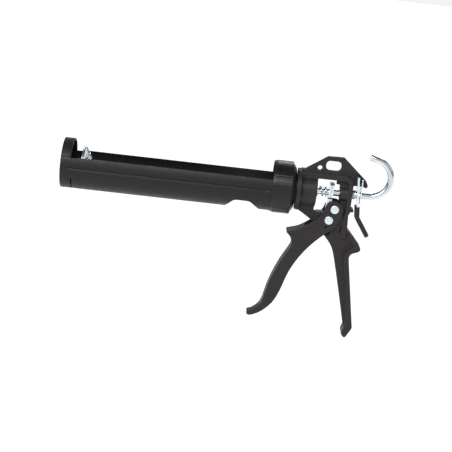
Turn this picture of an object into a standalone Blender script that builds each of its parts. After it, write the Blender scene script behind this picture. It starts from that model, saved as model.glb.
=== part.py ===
"""Caulking gun for 310 ml cartridges: a half-open steel barrel that turns on a cast frame, a push rod with a
hooked end, and a trigger that walks the rod forward through a pair of gripping plates.

Sizes are in millimetres and are turned into metres where a mesh is made. X runs along the push rod from the
nozzle to the hook, Z is up and Y is across. The origin is the middle of the piston's front face with the rod
pushed fully forward.
"""

import math

import bmesh
import bpy
from mathutils import Matrix, Vector

MM = 0.001
GAP = 0.3  # clearance between two pieces that touch on the real gun
RUN = 0.4  # radial clearance of a piece that slides or turns on another
COIL_RUN = 0.6  # radial clearance of a coil round the rod

# Push rod
ROD_R = 3.5
HOOK_R = 19.8  # centreline radius of the hook
HOOK_SWEEP = 164.0  # degrees that the hook turns through
HOOK_TIP = 9.6  # straight end after the hook

# Piston
DISC_R = 19.0
DISC_T = 1.5
CONE_T = 1.2
CONE_DEPTH = 7.0
CONE_HUB_R = 8.0
CONE_HOLE_R = 1.8
CONE_HOLES = 6
PISTON_NUT_R = ROD_R + 2.1
PISTON_NUT_T = 4.0

# Barrel
SHELL_IN_R = 25.0
SHELL_WALL = 1.1
SHELL_R = SHELL_IN_R + SHELL_WALL
SHELL_LIFT = 24.0  # degrees above level where the open side begins
BARREL_FRONT = -20.0
BARREL_LENGTH = 232.0
BARREL_REAR = BARREL_FRONT + BARREL_LENGTH
BEAD_Z = -1.0
BEAD_W = 1.8
BEAD_DEPTH = 0.5
BEAD_MARGIN = 13.0  # plain shell between the bead and the rear end
SLIT_W = 1.3
SLIT_START = 27.0  # degrees below level
SLIT_END = 87.0
SLIT_FLARE = 62.0  # from here down the slit is twice as wide
SCALLOP_REAR = 20.5  # from the scallop's rear end to the shell's rear end
SCALLOP_LENGTH = 40.5
SCALLOP_DEPTH = 11.0
EDGE_NOTCH_LENGTH = 9.0
EDGE_NOTCH_DEPTH = 1.0

# Front cap
CAP_LENGTH = 10.5
CAP_WALL = 1.6
CAP_PLATE_T = 1.6
CAP_PROUD = 0.3  # how far the strap stands out past the shell
NOZZLE_R = 11.0

# Barrel collar
COLLAR_WALL = 0.7
COLLAR_R = SHELL_R + GAP + COLLAR_WALL
COLLAR_LAND = 0.6  # height of the raised lands
COLLAR_LENGTH = 24.0
COLLAR_GRIP = 12.0  # length of barrel inside the collar
COLLAR_LIP = 2.2
COLLAR_NOSE_R = 21.2
COLLAR_CHAMFER = 4.0
COLLAR_FRONT = BARREL_REAR - COLLAR_GRIP
COLLAR_REAR = COLLAR_FRONT + COLLAR_LENGTH
LAND_SPANS = ((8.0, 172.0), (238.0, 302.0))  # degrees, level on the far side is 0 and up is 90
LAND_GROOVES = (34.0, 146.0)  # shallow lines across the upper land

# Frame: front end
WASHER_T = 0.9
WASHER_R = 17.0
FLANGE_R = 22.0
FLANGE_T = 4.5
FLANGE_FRONT = COLLAR_REAR + GAP + WASHER_T + GAP
FLANGE_REAR = FLANGE_FRONT + FLANGE_T
SPIGOT_R = 12.0
SPIGOT_FRONT = BARREL_REAR - 4.5
RING_T = 1.6
RING_R = 15.5
RING_GROOVE = 1.0
BOSS_R = 16.0
BOSS_LENGTH = 17.0
BOSS_REAR = FLANGE_REAR + BOSS_LENGTH

# Frame: window, rail and rear post
WINDOW_LENGTH = 32.5
RAIL_BOTTOM = 14.2
RAIL_TOP = 20.0
RIB_BOTTOM = 9.5  # the thin rib under the rear half of the rail
RIB_HALF = 2.5
RAIL_HALF = 7.5
POST_T = 5.0
POST_FRONT = BOSS_REAR + WINDOW_LENGTH
POST_REAR = POST_FRONT + POST_T
REAR_BOSS_R = 7.8
REAR_BOSS_LENGTH = 8.0
REAR_BOSS_FRONT = POST_FRONT - REAR_BOSS_LENGTH
LUG_LENGTH = 3.6
LUG_TOP = -14.2
LUG_BOTTOM = -17.8
WEB_HALF = 3.0
WINDOW_FLOOR = -21.4
WINDOW_SHELF = -8.0  # top of the web under the rear boss

# Frame: top plate
PLATE_HALF = 2.5
PLATE_TOP = 37.8
POCKET_HALF = 1.3
HANG_HOLE_R = 2.5
HANG_HOLE_Z = 25.0
HANG_SLOT_LENGTH = 16.0
HANG_SLOT_H = 10.0
HANG_SLOT_Z = 28.3

# Frame: handle
PANEL_HALF = 5.5
FLANGE_HALF = 10.0

# Trigger and its two rivets
CHEEK_HALF = 10.0
CHEEK_T = 3.0
SPINE_T = 3.2
FINGER_HALF = 6.5
PIVOT_X = POST_FRONT - 16.3
PIVOT_Z = -28.0
DRIVE_X = PIVOT_X + 4.7
DRIVE_Z = PIVOT_Z + 12.0
RIVET_R = 2.5
RIVET_HEAD_R = 4.5
RIVET_HEAD_T = 1.8
BUSH_R = 4.0
ROLLER_R = 4.0

# Drive plates and their spring
DRIVE_PLATE_T = 2.2
DRIVE_PLATE_TILT = math.radians(3.0)
DRIVE_PLATE_HALF = 8.0
DRIVE_TAIL_HALF = 6.4
DRIVE_PLATE_TOP = 10.4
DRIVE_SHOULDER = -4.2
DRIVE_TAIL_END = -20.0
DRIVE_WIRE_R = 0.8
DRIVE_SPRING_R = ROD_R + COIL_RUN + DRIVE_WIRE_R  # coil centreline
DRIVE_SPRING_TURNS = 3.6
SPRING_POCKET_DEPTH = 8.0
SPRING_WASHER_T = 0.8

# Release lever, its sleeve, the brake plate and the brake spring
LEVER_T = 2.1
LEVER_HALF = 8.6
LEVER_TAIL_HALF = 6.0  # the lever narrows inside the sleeve
LEVER_TOP_X = POST_REAR + 4.2
LEVER_TOP_Z = 20.0
LEVER_BEND_X = LEVER_TOP_X + 4.0
LEVER_BEND_Z = -23.2
LEVER_END_X = LEVER_BEND_X + 13.6
LEVER_END_Z = -43.2
SLEEVE_WALL = 1.0
SLEEVE_TOP_Z = -11.4
SLEEVE_SHORT = 1.4  # bare metal past the sleeve's lower end
BRAKE_PLATE_T = 1.2
BRAKE_PLATE_HALF = 8.6
BRAKE_PLATE_TOP = 17.5
BRAKE_PLATE_BOTTOM = -8.0
BRAKE_WIRE_R = 0.5
BRAKE_SPRING_R = ROD_R + COIL_RUN + BRAKE_WIRE_R
BRAKE_SPRING_TURNS = 2.5

BLACK_CAST = ("black_powder_coat", (0.045, 0.043, 0.045), 0.55, 0.0)
BLACK_STEEL = ("black_coated_steel", (0.040, 0.038, 0.040), 0.45, 0.0)
BLACK_COLLAR = ("black_collar", (0.035, 0.034, 0.035), 0.38, 0.0)
BLACK_SLEEVE = ("black_sleeve", (0.040, 0.038, 0.038), 0.60, 0.0)
BRIGHT_ZINC = ("bright_zinc", (0.78, 0.82, 0.85), 0.22, 1.0)
SPRING_STEEL = ("spring_steel", (0.62, 0.64, 0.66), 0.28, 1.0)


# ---------------------------------------------------------------- materials and objects

def material(spec):
    name, colour, roughness, metallic = spec
    made = bpy.data.materials.get(name)
    if made is None:
        made = bpy.data.materials.new(name)
        made.use_nodes = True
        shader = made.node_tree.nodes["Principled BSDF"]
        shader.inputs["Base Color"].default_value = (*colour, 1.0)
        shader.inputs["Roughness"].default_value = roughness
        shader.inputs["Metallic"].default_value = metallic
        made.diffuse_color = (*colour, 1.0)
    return made


def place(name, bm, spec=None, pivot=(0.0, 0.0, 0.0)):
    """Turn a bmesh in millimetres into an object in metres whose origin is at pivot."""
    bmesh.ops.recalc_face_normals(bm, faces=bm.faces)
    centre = Vector(pivot)
    bm.transform(Matrix.Scale(MM, 4) @ Matrix.Translation(-centre))
    mesh = bpy.data.meshes.new(name)
    bm.to_mesh(mesh)
    bm.free()
    made = bpy.data.objects.new(name, mesh)
    made.location = centre * MM
    bpy.context.scene.collection.objects.link(made)
    if spec:
        mesh.materials.append(material(spec))
    mesh.shade_smooth()
    mesh.set_sharp_from_angle(angle=math.radians(35))
    return made


def tool(name, bm):
    """A cutter or an added block: it shapes another object and is not a piece itself."""
    made = place("tool_" + name, bm)
    made.hide_render = True
    made.display_type = "WIRE"
    return made


def combine(target, operation, tools):
    for helper in tools:
        change = target.modifiers.new(helper.name, "BOOLEAN")
        change.operation = operation
        change.solver = "EXACT"
        change.object = helper


def join(target, *tools):
    combine(target, "UNION", tools)


def cut(target, *tools):
    combine(target, "DIFFERENCE", tools)


# ---------------------------------------------------------------- outlines

def arc(centre, radius, start, end, steps):
    """Points on an arc, with angles in degrees."""
    points = []
    for i in range(steps + 1):
        angle = math.radians(start + (end - start) * i / steps)
        points.append((centre[0] + radius * math.cos(angle), centre[1] + radius * math.sin(angle)))
    return points


def rounded(corners, steps=4):
    """An outline from corners (a, b, radius), with an arc in place of each corner that has a radius."""
    points = []
    count = len(corners)
    for i, (a, b, radius) in enumerate(corners):
        here = Vector((a, b))
        if radius <= 0:
            points.append(tuple(here))
            continue
        back = (Vector(corners[i - 1][:2]) - here).normalized()
        ahead = (Vector(corners[(i + 1) % count][:2]) - here).normalized()
        half = back.angle(ahead) / 2
        reach = radius / math.tan(half)
        centre = here + (back + ahead).normalized() * (radius / math.sin(half))
        first = here + back * reach - centre
        turn = first.angle_signed(here + ahead * reach - centre)
        for k in range(steps + 1):
            angle = -turn * k / steps
            spoke = Matrix.Rotation(angle, 2) @ first
            points.append(tuple(centre + spoke))
    return points


def smooth(points, steps=3):
    """A Catmull-Rom curve through the points."""
    ends = [Vector(p) for p in points]
    ends = [2 * ends[0] - ends[1]] + ends + [2 * ends[-1] - ends[-2]]
    curve = []
    for i in range(1, len(ends) - 2):
        p0, p1, p2, p3 = ends[i - 1:i + 3]
        for k in range(steps):
            t = k / steps
            curve.append(tuple(0.5 * (2 * p1 + (p2 - p0) * t + (2 * p0 - 5 * p1 + 4 * p2 - p3) * t ** 2
                                      + (3 * p1 - p0 - 3 * p2 + p3) * t ** 3)))
    curve.append(tuple(ends[-2]))
    return curve


def offset(points, distance):
    """The open line moved sideways to its left by distance."""
    moved = []
    for i, point in enumerate(points):
        before = Vector(points[max(i - 1, 0)])
        after = Vector(points[min(i + 1, len(points) - 1)])
        along = (after - before).normalized()
        moved.append(tuple(Vector(point) + Vector((-along.y, along.x)) * distance))
    return moved


# ---------------------------------------------------------------- solids

def prism(outline, low, high, axis="Y"):
    """The outline extruded from low to high: (x, z) points along Y, (y, z) along X, (x, y) along Z."""
    bm = bmesh.new()
    spots = {"Y": lambda a, b: (a, low, b), "X": lambda a, b: (low, a, b), "Z": lambda a, b: (a, b, low)}
    verts = [bm.verts.new(spots[axis](a, b)) for a, b in outline]
    face = bm.faces.new(verts)
    extruded = bmesh.ops.extrude_face_region(bm, geom=[face])["geom"]
    step = {"Y": (0, high - low, 0), "X": (high - low, 0, 0), "Z": (0, 0, high - low)}[axis]
    moved = [item for item in extruded if isinstance(item, bmesh.types.BMVert)]
    bmesh.ops.translate(bm, vec=step, verts=moved)
    return bm


def block(x0, x1, y0, y1, z0, z1):
    return prism([(x0, z0), (x1, z0), (x1, z1), (x0, z1)], y0, y1)


def turned(profile, steps=32, closed=False, axis=(1, 0, 0), centre=(0, 0, 0)):
    """The profile of (along, radius) points spun round an axis through centre."""
    bm = bmesh.new()
    along = Vector(axis)
    out = Vector((0, 0, 1)) if abs(along.z) < 0.5 else Vector((1, 0, 0))
    verts = [bm.verts.new(Vector(centre) + along * a + out * r) for a, r in profile]
    pairs = list(zip(verts, verts[1:] + verts[:1])) if closed else list(zip(verts, verts[1:]))
    edges = [bm.edges.new(pair) for pair in pairs]
    bmesh.ops.spin(bm, geom=verts + edges, cent=centre, axis=axis, angle=2 * math.pi, steps=steps,
                   use_merge=True)
    bmesh.ops.remove_doubles(bm, verts=bm.verts, dist=0.0005)
    return bm


def disc(x0, x1, radius, steps=32):
    return turned([(x0, 0), (x0, radius), (x1, radius), (x1, 0)], steps)


def ring(x0, x1, inner, outer, steps=32):
    return turned([(x0, inner), (x0, outer), (x1, outer), (x1, inner)], steps, closed=True)


def pin(x, z, radius, half, steps=24):
    """A round bar across the gun, or the cutter for its hole."""
    profile = [(-half, 0), (-half, radius), (half, radius), (half, 0)]
    return turned(profile, steps, axis=(0, 1, 0), centre=(x, 0, z))


def coil(start, end, radius, wire, turns, per_turn=14, sides=6):
    """A closed wire swept round the rod's axis, with flat closed ends."""
    bm = bmesh.new()
    count = int(turns * per_turn)
    rings = []
    for i in range(count + 1):
        angle = 2 * math.pi * turns * i / count
        out = Vector((0, math.cos(angle), math.sin(angle)))
        middle = Vector((start + wire + (end - start - 2 * wire) * i / count, 0, 0)) + out * radius
        section = []
        for k in range(sides):
            bend = 2 * math.pi * k / sides
            section.append(bm.verts.new(middle + out * wire * math.cos(bend)
                                        + Vector((1, 0, 0)) * wire * math.sin(bend)))
        rings.append(section)
    for first, second in zip(rings, rings[1:]):
        for k in range(sides):
            n = (k + 1) % sides
            bm.faces.new((first[k], first[n], second[n], second[k]))
    bm.faces.new(rings[0])
    bm.faces.new(rings[-1])
    return bm


# ---------------------------------------------------------------- push rod and piston

def rod_path():
    """The rod's centreline in (x, z), from the piston to the hook's tip."""
    start = DISC_T + GAP
    bend = LEVER_TOP_X + 14.2
    points = [(start, 0.0)]
    points += arc((bend, HOOK_R), HOOK_R, -90, -90 + HOOK_SWEEP, 18)
    last = math.radians(HOOK_SWEEP)
    tip = points[-1]
    points.append((tip[0] + HOOK_TIP * math.cos(last), tip[1] + HOOK_TIP * math.sin(last)))
    return points


def make_push_rod():
    curve = bpy.data.curves.new("push_rod", "CURVE")
    curve.dimensions = "3D"
    curve.bevel_depth = ROD_R * MM
    curve.bevel_resolution = 4
    curve.use_fill_caps = True
    line = curve.splines.new("POLY")
    path = rod_path()
    line.points.add(len(path) - 1)
    for spot, (x, z) in zip(line.points, path):
        spot.co = (x * MM, 0, z * MM, 1)
    made = bpy.data.objects.new("push_rod", curve)
    curve.materials.append(material(BRIGHT_ZINC))
    bpy.context.scene.collection.objects.link(made)


def make_piston():
    place("piston_plate", disc(0, DISC_T, DISC_R, 36), BRIGHT_ZINC)
    front = DISC_T + GAP
    back = front + CONE_DEPTH
    bore = ROD_R + RUN
    rim = DISC_R - 2.0
    profile = [(front, rim), (front, DISC_R), (front + CONE_T, DISC_R), (back + CONE_T, CONE_HUB_R),
               (back + CONE_T, bore), (back, bore), (back, CONE_HUB_R - 1.0)]
    backing = place("piston_backing", turned(profile, 36, closed=True), BRIGHT_ZINC)
    mid = (CONE_HUB_R + DISC_R) / 2
    for i in range(CONE_HOLES):
        angle = 2 * math.pi * (i + 0.5) / CONE_HOLES
        hole = turned([(front - 3, 0), (front - 3, CONE_HOLE_R), (back + 4, CONE_HOLE_R), (back + 4, 0)], 12,
                      centre=(0, mid * math.cos(angle), mid * math.sin(angle)))
        cut(backing, tool(f"cone_hole_{i}", hole))
    nut = prism(arc((0, 0), PISTON_NUT_R, 0, 300, 5), front + GAP, front + GAP + PISTON_NUT_T, "X")
    nut = place("piston_nut", nut, BRIGHT_ZINC)
    cut(nut, tool("nut_bore", disc(front - 2, back + 4, ROD_R + GAP, 24)))


# ---------------------------------------------------------------- barrel

def shell_section(outer, inner, steps=40):
    start = 180 - SHELL_LIFT
    end = 360 + SHELL_LIFT
    return arc((0, 0), outer, start, end, steps) + arc((0, 0), inner, end, start, steps)


def make_barrel_shell():
    shell = place("barrel_shell", prism(shell_section(SHELL_R, SHELL_IN_R), BARREL_FRONT, BARREL_REAR, "X"),
                  BLACK_STEEL)
    slit_x = BARREL_FRONT + CAP_LENGTH + 0.5
    for name, side in (("near", -1), ("far", 1)):
        y = side * SHELL_R
        cut(shell, tool(f"bead_{name}", block(BARREL_FRONT + 2, BARREL_REAR - BEAD_MARGIN,
                                              y - BEAD_DEPTH, y + BEAD_DEPTH,
                                              BEAD_Z - BEAD_W / 2, BEAD_Z + BEAD_W / 2)))
        level = 180 if side < 0 else 360
        sweep = side * -1
        for start, width in ((SLIT_START, SLIT_W), (SLIT_FLARE, 2 * SLIT_W)):
            wedge = (arc((0, 0), SHELL_R + 2, level + sweep * start, level + sweep * SLIT_END, 8)
                     + arc((0, 0), SHELL_IN_R - 2, level + sweep * SLIT_END, level + sweep * start, 8))
            cut(shell, tool(f"slit_{name}_{start:.0f}", prism(wedge, slit_x, slit_x + width, "X")))
    edge_z = SHELL_R * math.sin(math.radians(SHELL_LIFT))
    start = BARREL_FRONT + CAP_LENGTH - 1.5
    notch = block(start, start + EDGE_NOTCH_LENGTH, -SHELL_R - 3, SHELL_R + 3,
                  edge_z - EDGE_NOTCH_DEPTH, edge_z + 5)
    cut(shell, tool("edge_notch", notch))
    rear = BARREL_REAR - SCALLOP_REAR
    low = -SHELL_R - 3
    top = -SHELL_R + SCALLOP_DEPTH
    front = rear - SCALLOP_LENGTH
    arch = rounded([(front - 2, low, 0), (rear + 2, low, 0), (rear - SCALLOP_LENGTH * 0.32, top, 9.0),
                    (front + SCALLOP_LENGTH * 0.27, top, 8.0)], 6)
    cut(shell, tool("scallop", prism(arch, -SHELL_R, SHELL_R)))


def make_front_cap():
    """A cup inside the shell whose rim steps out to the shell's own radius over the open side."""
    bm = bmesh.new()
    steps = 48
    x0 = BARREL_FRONT
    x1 = BARREL_FRONT + CAP_LENGTH
    xp = BARREL_FRONT + CAP_PLATE_T
    nested = SHELL_IN_R - GAP
    proud = SHELL_R + CAP_PROUD
    clear = SHELL_LIFT + math.degrees(GAP / SHELL_R)
    stops = [clear + 0.01] + [clear + (180 - 2 * clear) * i / 20 for i in range(1, 20)] + [180 - clear - 0.01]
    inside = [180 - clear + (180 + 2 * clear) * i / (steps - 20) for i in range(steps - 19)]
    rim = [(angle, proud, proud - CAP_WALL) for angle in stops]
    rim += [(angle, nested, nested - CAP_WALL) for angle in inside]
    loops = []
    for angle, outer, inner in rim:
        y = math.cos(math.radians(angle))
        z = math.sin(math.radians(angle))
        section = [(x0, outer), (x1, outer), (x1, inner), (xp, inner), (xp, NOZZLE_R), (x0, NOZZLE_R)]
        loops.append([bm.verts.new((x, r * y, r * z)) for x, r in section])
    for first, second in zip(loops, loops[1:] + loops[:1]):
        for k in range(6):
            n = (k + 1) % 6
            bm.faces.new((first[k], first[n], second[n], second[k]))
    place("front_cap", bm, BLACK_STEEL)


def make_collar():
    """A socket for the barrel with a thick rear wall that turns on the frame's spigot."""
    socket_end = BARREL_REAR + GAP
    socket = SHELL_R + GAP
    shoulder = COLLAR_REAR - COLLAR_CHAMFER
    bore = SPIGOT_R + RUN
    base = COLLAR_R - COLLAR_WALL * 0.4
    profile = [(COLLAR_FRONT, socket), (COLLAR_FRONT, base), (COLLAR_FRONT + COLLAR_LIP, COLLAR_R),
               (shoulder, COLLAR_R), (COLLAR_REAR, COLLAR_NOSE_R), (COLLAR_REAR, bore), (socket_end, bore),
               (socket_end, socket)]
    collar = place("barrel_collar", turned(profile, 64, closed=True), BLACK_COLLAR)
    top = COLLAR_R + COLLAR_LAND
    low = COLLAR_R - COLLAR_WALL / 2
    for i, (start, end) in enumerate(LAND_SPANS):
        steps = round((end - start) / 6)
        outline = (arc((0, 0), top, start, end, steps) + arc((0, 0), low, end, start, steps))
        land = tool(f"land_{i}", prism(outline, COLLAR_FRONT + COLLAR_LIP + 0.4, shoulder + 0.6, "X"))
        join(collar, land)
    for i, angle in enumerate(LAND_GROOVES):
        groove = (arc((0, 0), top + 1, angle - 1, angle + 1, 1)
                  + arc((0, 0), top - COLLAR_LAND / 2, angle + 1, angle - 1, 1))
        cut(collar, tool(f"land_groove_{i}", prism(groove, COLLAR_FRONT - 1, shoulder + 2, "X")))


def make_barrel_fittings():
    front = COLLAR_REAR + GAP
    place("thrust_washer", ring(front, front + WASHER_T, SPIGOT_R + RUN, WASHER_R), BLACK_STEEL)
    rear = BARREL_REAR
    place("retaining_ring", ring(rear - RING_T, rear, SPIGOT_R - RING_GROOVE + GAP, RING_R), SPRING_STEEL)


# ---------------------------------------------------------------- frame

def web_outline():
    """The thin web: the gusset under the flange, the floor of the window and the root of the handle."""
    return [(FLANGE_REAR - 2, -12), (FLANGE_REAR - 2, -22.2), (FLANGE_REAR + 0.7, -22.2),
            (PIVOT_X - 19.8, -30.0), (PIVOT_X - 3.5, -43.2), (PIVOT_X + 2, -49.2), (POST_REAR - 1, -49.2),
            (POST_REAR - 1, -34), (POST_REAR - 1, WINDOW_SHELF), (DRIVE_X + ROLLER_R + 1.1, WINDOW_SHELF),
            (DRIVE_X + ROLLER_R + 1.1, WINDOW_FLOOR), (BOSS_REAR - 0.6, WINDOW_FLOOR + 0.4),
            (BOSS_REAR - 0.2, -14), (BOSS_REAR - 4, -12)]


def hub_outline():
    """The thick part of the web, between the trigger's cheeks."""
    return rounded([(PIVOT_X - 13.4, WINDOW_FLOOR + 0.3, 0.8), (PIVOT_X - 17.2, -30.4, 1),
                    (PIVOT_X - 7, -39, 3),
                    (PIVOT_X + 6, -43, 3), (POST_FRONT - 3.4, -39, 0), (POST_FRONT - 1, WINDOW_FLOOR, 0)])


def handle_front():
    return smooth([(PIVOT_X - 3, -45.3), (PIVOT_X + 4.8, -54.3), (PIVOT_X + 9.4, -63.6),
                   (PIVOT_X + 15.0, -82.8), (PIVOT_X + 23.5, -115.1), (PIVOT_X + 30.1, -141.2),
                   (PIVOT_X + 30.4, -145)])


def handle_back():
    return rounded([(POST_REAR - 0.5, -36, 1), (PIVOT_X + 39.6, -57.3, 3.4), (PIVOT_X + 25.6, -62.8, 6),
                    (PIVOT_X + 28.2, -77.5, 0), (PIVOT_X + 39.9, -143, 5), (PIVOT_X + 33, -155.3, 1.8),
                    (PIVOT_X + 29.1, -151.0, 0), (PIVOT_X + 29.2, -148.0, 0)])


def make_handle(frame):
    back = handle_back()
    panel = handle_front() + [(PIVOT_X + 33, -146), (PIVOT_X + 28.5, -97), (PIVOT_X + 24, -66),
                              (PIVOT_X + 34, -56.5), (POST_REAR - 1.5, -37)]
    join(frame, tool("handle_panel", prism(panel, -PANEL_HALF, PANEL_HALF)))
    inner = smooth([(PIVOT_X + 31.3, -141.5), (PIVOT_X + 31.1, -131.8), (PIVOT_X + 26.5, -97),
                    (PIVOT_X + 21.6, -72.4), (PIVOT_X + 20.8, -64), (PIVOT_X + 24, -58.2),
                    (PIVOT_X + 29.8, -54)], 2)
    crown = [(PIVOT_X + 23.2, -43.3), (POST_REAR - 2, -37.5)]
    rim = back + inner + crown
    join(frame, tool("handle_flange", prism(rim, -FLANGE_HALF, FLANGE_HALF)))


def plate_outline():
    """The top plate with its down-turned rear hook, from the flange round to the rail."""
    hook_x = LEVER_TOP_X + 7.7
    return rounded([(FLANGE_REAR - 2, 14, 0), (FLANGE_REAR + 1.3, 21.5, 0),
                    (FLANGE_REAR + 25.2, PLATE_TOP, 2),
                    (FLANGE_REAR + 41.8, PLATE_TOP + 0.4, 2), (hook_x + 1.2, 16.0, 4),
                    (hook_x + 3.9, 10.3, 2.2),
                    (hook_x + 0.2, 7.2, 2), (hook_x - 2.3, 13.4, 1), (hook_x - 2.6, 9.5, 0),
                    (POST_REAR - 2, 9.5, 0), (POST_REAR - 2, 14, 0)])


def make_top_plate(frame):
    join(frame, tool("top_plate", prism(plate_outline(), -PLATE_HALF, PLATE_HALF)))
    hole_x = FLANGE_REAR + 17.7
    slot_x = FLANGE_REAR + 31.8
    cut(frame, tool("hang_hole", pin(hole_x, HANG_HOLE_Z, HANG_HOLE_R, 12, 20)))
    reach = HANG_SLOT_LENGTH / 2
    rise = HANG_SLOT_H / 2
    low = HANG_SLOT_Z - rise
    high = HANG_SLOT_Z + rise
    slot = rounded([(slot_x - reach, low, 4), (slot_x + reach, low, 4), (slot_x + reach, high, 4),
                    (slot_x - reach, high, 4)])
    cut(frame, tool("hang_slot", prism(slot, -12, 12)))
    rear = LEVER_TOP_X + 5.2
    pocket = rounded([(POST_REAR + 0.8, 4, 0), (rear, 4, 0), (rear, 18.2, 0), (rear - 3.0, 21.5, 1),
                      (POST_REAR + 0.8, 21.5, 1)])
    for name, side in (("near", -1), ("far", 1)):
        low, high = sorted((side * POCKET_HALF, side * 14))
        cut(frame, tool(f"pocket_{name}", prism(pocket, low, high)))


def make_rail_and_post(frame):
    """The rail above the window turns down into the rear post with a round corner."""
    strap = rounded([(FLANGE_REAR - 2, RAIL_BOTTOM, 0), (FLANGE_REAR - 2, RAIL_TOP, 0),
                     (POST_REAR, RAIL_TOP, 10),
                     (POST_REAR, LUG_BOTTOM - 1.2, 0), (POST_REAR - 1.3, LUG_BOTTOM - 3.2, 0),
                     (POST_REAR - 0.7, -35, 0), (POST_REAR - 0.7, -47, 0), (POST_FRONT - 3.0, -47, 0),
                     (POST_FRONT - 2.2, -38, 0), (POST_FRONT - 0.9, -21.5, 0), (POST_FRONT, -19.5, 0),
                     (POST_FRONT, RAIL_BOTTOM, 4)], 6)
    join(frame, tool("strap", prism(strap, -RAIL_HALF, RAIL_HALF)))
    lug = rounded([(POST_REAR - 2, LUG_BOTTOM, 0), (POST_REAR + LUG_LENGTH, LUG_BOTTOM, 0.6),
                   (POST_REAR + LUG_LENGTH - 0.4, LUG_TOP, 1.2), (POST_REAR - 2, LUG_TOP, 0)])
    join(frame, tool("lug", prism(lug, -RAIL_HALF + 1, RAIL_HALF - 1)))
    rib = [(REAR_BOSS_FRONT - 4.5, RAIL_BOTTOM + 1), (REAR_BOSS_FRONT - 4.5, RIB_BOTTOM),
           (REAR_BOSS_FRONT - 0.8, RIB_BOTTOM), (REAR_BOSS_FRONT - 0.8, 5), (POST_FRONT + 1, 5),
           (POST_FRONT + 1, RAIL_BOTTOM + 1)]
    join(frame, tool("rib", prism(rib, -RIB_HALF, RIB_HALF)))


def make_frame():
    profile = [(SPIGOT_FRONT, 0), (SPIGOT_FRONT, SPIGOT_R), (BARREL_REAR - RING_T - GAP, SPIGOT_R),
               (BARREL_REAR - RING_T - GAP, SPIGOT_R - RING_GROOVE),
               (BARREL_REAR + GAP, SPIGOT_R - RING_GROOVE),
               (BARREL_REAR + GAP, SPIGOT_R), (FLANGE_FRONT, SPIGOT_R), (FLANGE_FRONT, FLANGE_R),
               (FLANGE_REAR, FLANGE_R), (FLANGE_REAR, BOSS_R), (BOSS_REAR, BOSS_R), (BOSS_REAR, 0)]
    frame = place("frame", turned(profile, 48), BLACK_CAST)
    make_rail_and_post(frame)
    join(frame, tool("web", prism(web_outline(), -WEB_HALF, WEB_HALF)))
    make_handle(frame)
    boss_cap = disc(REAR_BOSS_FRONT, POST_FRONT + 2, REAR_BOSS_R, 32)
    join(frame, tool("rear_boss", boss_cap))
    make_top_plate(frame)
    boss_half = CHEEK_HALF - CHEEK_T - GAP
    join(frame, tool("hub", prism(hub_outline(), -boss_half, boss_half)))
    cut(frame, tool("pivot_hole", pin(PIVOT_X, PIVOT_Z, BUSH_R + GAP, 15, 24)))
    cut(frame, tool("rod_bore", disc(SPIGOT_FRONT - 5, POST_REAR + 6, ROD_R + RUN, 24)))
    pocket_r = DRIVE_SPRING_R + DRIVE_WIRE_R + RUN
    cut(frame, tool("spring_pocket", disc(BOSS_REAR - SPRING_POCKET_DEPTH, BOSS_REAR + 3, pocket_r, 28)))


# ---------------------------------------------------------------- trigger and rivets

def trigger_front():
    """The front edge, from the finger end up to the spur."""
    return smooth([(PIVOT_X - 74.2, -137.6), (PIVOT_X - 70.3, -136.7), (PIVOT_X - 66.8, -134.4),
                   (PIVOT_X - 63.2, -131), (PIVOT_X - 60.8, -127.2), (PIVOT_X - 58.8, -120.6),
                   (PIVOT_X - 55.7, -106.7), (PIVOT_X - 51.2, -92.7), (PIVOT_X - 45.2, -78.5),
                   (PIVOT_X - 38, -64.8), (PIVOT_X - 36.0, -59.6), (PIVOT_X - 36.1, -55),
                   (PIVOT_X - 38.4, -50), (PIVOT_X - 41.6, -47), (PIVOT_X - 42.6, -45.4)])


def trigger_top():
    """The top edge, from the spur up to the head."""
    return smooth([(PIVOT_X - 40.8, -44.4), (PIVOT_X - 31, -41.4), (PIVOT_X - 24, -37.4),
                   (PIVOT_X - 18.5, -33.4),
                   (PIVOT_X - 13.1, -28.4), (PIVOT_X - 8.4, -22.8), (PIVOT_X - 5.6, -17.6)])


def trigger_head():
    head_r = 9.6
    return arc((DRIVE_X - 0.4, DRIVE_Z - 1.2), head_r, 160, -20, 12)


def trigger_back():
    """The rear edge, from the head down to the finger end."""
    return smooth([(PIVOT_X + 12.4, -25.7), (PIVOT_X + 6.6, -36.4), (PIVOT_X - 4.4, -45.7),
                   (PIVOT_X - 15.3, -56.8), (PIVOT_X - 26, -71.1), (PIVOT_X - 35.1, -88.7),
                   (PIVOT_X - 42.3, -111.3), (PIVOT_X - 49, -125), (PIVOT_X - 57.8, -134.8),
                   (PIVOT_X - 65, -139.6), (PIVOT_X - 71.5, -142), (PIVOT_X - 74.6, -140.6)])


def finger_wedge(side):
    """The corner taken off one side of the finger end, which is narrower than the rest."""
    wide = CHEEK_HALF + 1
    return [(side * wide, -124), (side * CHEEK_HALF, -124), (side * FINGER_HALF, -143), (side * wide, -143)]


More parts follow.
